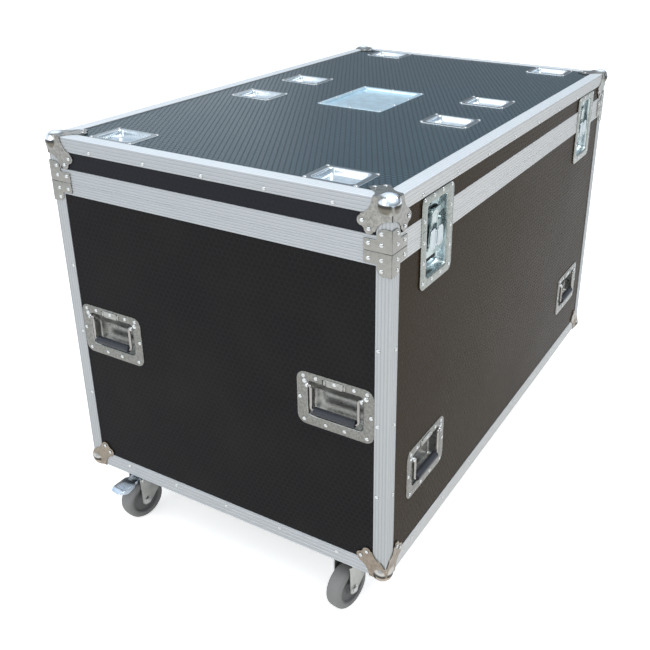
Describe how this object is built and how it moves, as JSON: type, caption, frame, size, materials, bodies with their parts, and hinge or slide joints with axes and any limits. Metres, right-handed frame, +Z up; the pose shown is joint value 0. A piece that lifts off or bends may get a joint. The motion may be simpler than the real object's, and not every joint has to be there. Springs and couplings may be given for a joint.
{
  "type": "road case",
  "caption": "Rectangular wheeled road case with ribbed metal edging, hinged lid, recessed turn latches, sprung bail handles, ball corners, stacking dishes and swivel castors.",
  "frame": {"origin": "centre of the case's overall footprint, on the floor", "axes": "+X along the long side, -Y is the latch side, +Z up"},
  "size_m": [1.3586, 0.817, 0.9575],
  "materials": {
    "laminate": "satin",
    "edging": "satin",
    "plated_steel": "satin",
    "bright_dish": "polished",
    "rubber_grip": "matte",
    "castor_steel": "satin",
    "tyre": "matte",
    "board": "matte",
    "label_plate": "satin"
  },
  "bodies": {
    "base": {"base_floor_panel": "laminate", "base_wall_panels": "laminate", "base_edge_extrusions": "edging", "base_groove_rails": "edging", "base_ball_corners": "plated_steel", "base_corner_braces": "plated_steel", "latch_dishes": "plated_steel", "latch_housings": "plated_steel", "handle_dishes": "plated_steel", "castor_boards": "board", "castor_plates": "castor_steel", "base_rivets": "plated_steel", "hinge_base_leaves": "plated_steel", "hinge_pins": "plated_steel"},
    "lid": {"lid_top_panel": "laminate", "lid_wall_panels": "laminate", "lid_edge_extrusions": "edging", "lid_tongue_rails": "edging", "lid_ball_corners": "plated_steel", "lid_corner_braces": "plated_steel", "castor_dishes": "bright_dish", "label_dish": "label_plate", "latch_keeper_dishes": "plated_steel", "latch_keepers": "plated_steel", "lid_rivets": "plated_steel", "hinge_lid_leaves": "plated_steel"},
    "latch_turn_left": {"latch_hub_left": "plated_steel"},
    "hook_left": {"latch_hook_left": "plated_steel"},
    "wing_left_a": {"latch_wing_left_a": "plated_steel"},
    "wing_left_b": {"latch_wing_left_b": "plated_steel"},
    "latch_turn_right": {"latch_hub_right": "plated_steel"},
    "hook_right": {"latch_hook_right": "plated_steel"},
    "wing_right_a": {"latch_wing_right_a": "plated_steel"},
    "wing_right_b": {"latch_wing_right_b": "plated_steel"},
    "handle_front_left": {"handle_bail_front_left": "plated_steel", "handle_grip_front_left": "rubber_grip"},
    "handle_front_right": {"handle_bail_front_right": "plated_steel", "handle_grip_front_right": "rubber_grip"},
    "handle_back_left": {"handle_bail_back_left": "plated_steel", "handle_grip_back_left": "rubber_grip"},
    "handle_back_right": {"handle_bail_back_right": "plated_steel", "handle_grip_back_right": "rubber_grip"},
    "handle_left_front": {"handle_bail_left_front": "plated_steel", "handle_grip_left_front": "rubber_grip"},
    "handle_left_back": {"handle_bail_left_back": "plated_steel", "handle_grip_left_back": "rubber_grip"},
    "handle_right_front": {"handle_bail_right_front": "plated_steel", "handle_grip_right_front": "rubber_grip"},
    "handle_right_back": {"handle_bail_right_back": "plated_steel", "handle_grip_right_back": "rubber_grip"},
    "castor_front_left": {"castor_fork_front_left": "castor_steel"},
    "wheel_front_left": {"castor_wheel_front_left": "tyre"},
    "castor_front_right": {"castor_fork_front_right": "castor_steel"},
    "wheel_front_right": {"castor_wheel_front_right": "tyre"},
    "pedal_front_right": {"brake_pedal_front_right": "castor_steel"},
    "castor_back_right": {"castor_fork_back_right": "castor_steel"},
    "wheel_back_right": {"castor_wheel_back_right": "tyre"},
    "castor_back_left": {"castor_fork_back_left": "castor_steel"},
    "wheel_back_left": {"castor_wheel_back_left": "tyre"},
    "pedal_back_left": {"brake_pedal_back_left": "castor_steel"}
  },
  "joints": [
    {"name": "lid_hinge", "type": "hinge", "parent": "base", "child": "lid", "pos_m": [0, 0.4044, 0.8533], "axis": [-1, 0, 0], "range_deg": [0, 95]},
    {"name": "latch_left_turn", "type": "hinge", "parent": "base", "child": "latch_turn_left", "pos_m": [-0.465, -0.39, 0.825], "axis": [0, -1, 0], "range_deg": [0, 180]},
    {"name": "hook_left_pull", "type": "hinge", "parent": "base", "child": "hook_left", "pos_m": [-0.465, -0.38945, 0.803], "axis": [-1, 0, 0], "range_deg": [0, 3.5]},
    {"name": "wing_left_a_fold", "type": "hinge", "parent": "latch_turn_left", "child": "wing_left_a", "pos_m": [-0.4692, -0.3994, 0.825], "axis": [0, 0, 1], "range_deg": [0, 85]},
    {"name": "wing_left_b_fold", "type": "hinge", "parent": "latch_turn_left", "child": "wing_left_b", "pos_m": [-0.4608, -0.3994, 0.825], "axis": [0, 0, -1], "range_deg": [0, 85]},
    {"name": "latch_right_turn", "type": "hinge", "parent": "base", "child": "latch_turn_right", "pos_m": [0.465, -0.39, 0.825], "axis": [0, -1, 0], "range_deg": [0, 180]},
    {"name": "hook_right_pull", "type": "hinge", "parent": "base", "child": "hook_right", "pos_m": [0.465, -0.38945, 0.803], "axis": [-1, 0, 0], "range_deg": [0, 3.5]},
    {"name": "wing_right_a_fold", "type": "hinge", "parent": "latch_turn_right", "child": "wing_right_a", "pos_m": [0.4608, -0.3994, 0.825], "axis": [0, 0, 1], "range_deg": [0, 85]},
    {"name": "wing_right_b_fold", "type": "hinge", "parent": "latch_turn_right", "child": "wing_right_b", "pos_m": [0.4692, -0.3994, 0.825], "axis": [0, 0, -1], "range_deg": [0, 85]},
    {"name": "handle_front_left_swing", "type": "hinge", "parent": "base", "child": "handle_front_left", "pos_m": [-0.474, -0.4003, 0.3705], "axis": [-1, 0, 0], "range_deg": [0, 98], "stiffness_Nm_per_rad": 0.1, "springref_deg": -20.05},
    {"name": "handle_front_right_swing", "type": "hinge", "parent": "base", "child": "handle_front_right", "pos_m": [0.474, -0.4003, 0.3705], "axis": [-1, 0, 0], "range_deg": [0, 98], "stiffness_Nm_per_rad": 0.1, "springref_deg": -20.05},
    {"name": "handle_back_left_swing", "type": "hinge", "parent": "base", "child": "handle_back_left", "pos_m": [-0.474, 0.4003, 0.3705], "axis": [1, 0, 0], "range_deg": [0, 98], "stiffness_Nm_per_rad": 0.1, "springref_deg": -20.05},
    {"name": "handle_back_right_swing", "type": "hinge", "parent": "base", "child": "handle_back_right", "pos_m": [0.474, 0.4003, 0.3705], "axis": [1, 0, 0], "range_deg": [0, 98], "stiffness_Nm_per_rad": 0.1, "springref_deg": -20.05},
    {"name": "handle_left_front_swing", "type": "hinge", "parent": "base", "child": "handle_left_front", "pos_m": [-0.6428, -0.2845, 0.5485], "axis": [0, 1, 0], "range_deg": [0, 98], "stiffness_Nm_per_rad": 0.1, "springref_deg": -20.05},
    {"name": "handle_left_back_swing", "type": "hinge", "parent": "base", "child": "handle_left_back", "pos_m": [-0.6428, 0.2845, 0.5485], "axis": [0, 1, 0], "range_deg": [0, 98], "stiffness_Nm_per_rad": 0.1, "springref_deg": -20.05},
    {"name": "handle_right_front_swing", "type": "hinge", "parent": "base", "child": "handle_right_front", "pos_m": [0.6428, -0.2845, 0.5485], "axis": [0, -1, 0], "range_deg": [0, 98], "stiffness_Nm_per_rad": 0.1, "springref_deg": -20.05},
    {"name": "handle_right_back_swing", "type": "hinge", "parent": "base", "child": "handle_right_back", "pos_m": [0.6428, 0.2845, 0.5485], "axis": [0, -1, 0], "range_deg": [0, 98], "stiffness_Nm_per_rad": 0.1, "springref_deg": -20.05},
    {"name": "castor_front_left_swivel", "type": "hinge", "parent": "base", "child": "castor_front_left", "pos_m": [-0.5685, -0.291, 0.119], "axis": [0, 0, 1], "continuous": true},
    {"name": "wheel_front_left_roll", "type": "hinge", "parent": "castor_front_left", "child": "wheel_front_left", "pos_m": [-0.60613, -0.28571, 0.051], "axis": [-0.1392, -0.9903, 0], "continuous": true},
    {"name": "castor_front_right_swivel", "type": "hinge", "parent": "base", "child": "castor_front_right", "pos_m": [0.5685, -0.291, 0.119], "axis": [0, 0, 1], "continuous": true},
    {"name": "wheel_front_right_roll", "type": "hinge", "parent": "castor_front_right", "child": "wheel_front_right", "pos_m": [0.60592, -0.2976, 0.051], "axis": [0.1736, 0.9848, 0], "continuous": true},
    {"name": "pedal_front_right_press", "type": "hinge", "parent": "castor_front_right", "child": "pedal_front_right", "pos_m": [0.61183, -0.29864, 0.1109], "axis": [0.1736, 0.9848, 0], "range_deg": [0, 8], "stiffness_Nm_per_rad": 2, "springref_deg": -5.73},
    {"name": "castor_back_right_swivel", "type": "hinge", "parent": "base", "child": "castor_back_right", "pos_m": [0.5685, 0.291, 0.119], "axis": [0, 0, 1], "continuous": true},
    {"name": "wheel_back_right_roll", "type": "hinge", "parent": "castor_back_right", "child": "wheel_back_right", "pos_m": [0.60613, 0.28571, 0.051], "axis": [0.1392, 0.9903, 0], "continuous": true},
    {"name": "castor_back_left_swivel", "type": "hinge", "parent": "base", "child": "castor_back_left", "pos_m": [-0.5685, 0.291, 0.119], "axis": [0, 0, 1], "continuous": true},
    {"name": "wheel_back_left_roll", "type": "hinge", "parent": "castor_back_left", "child": "wheel_back_left", "pos_m": [-0.60592, 0.2976, 0.051], "axis": [-0.1736, -0.9848, 0], "continuous": true},
    {"name": "pedal_back_left_press", "type": "hinge", "parent": "castor_back_left", "child": "pedal_back_left", "pos_m": [-0.61183, 0.29864, 0.1109], "axis": [-0.1736, -0.9848, 0], "range_deg": [0, 8], "stiffness_Nm_per_rad": 2, "springref_deg": -5.73}
  ],
  "couplings": [
    {"joint": "hook_left_pull", "follows": "latch_left_turn", "ratio": 0.019444},
    {"joint": "hook_right_pull", "follows": "latch_right_turn", "ratio": 0.019444}
  ]
}
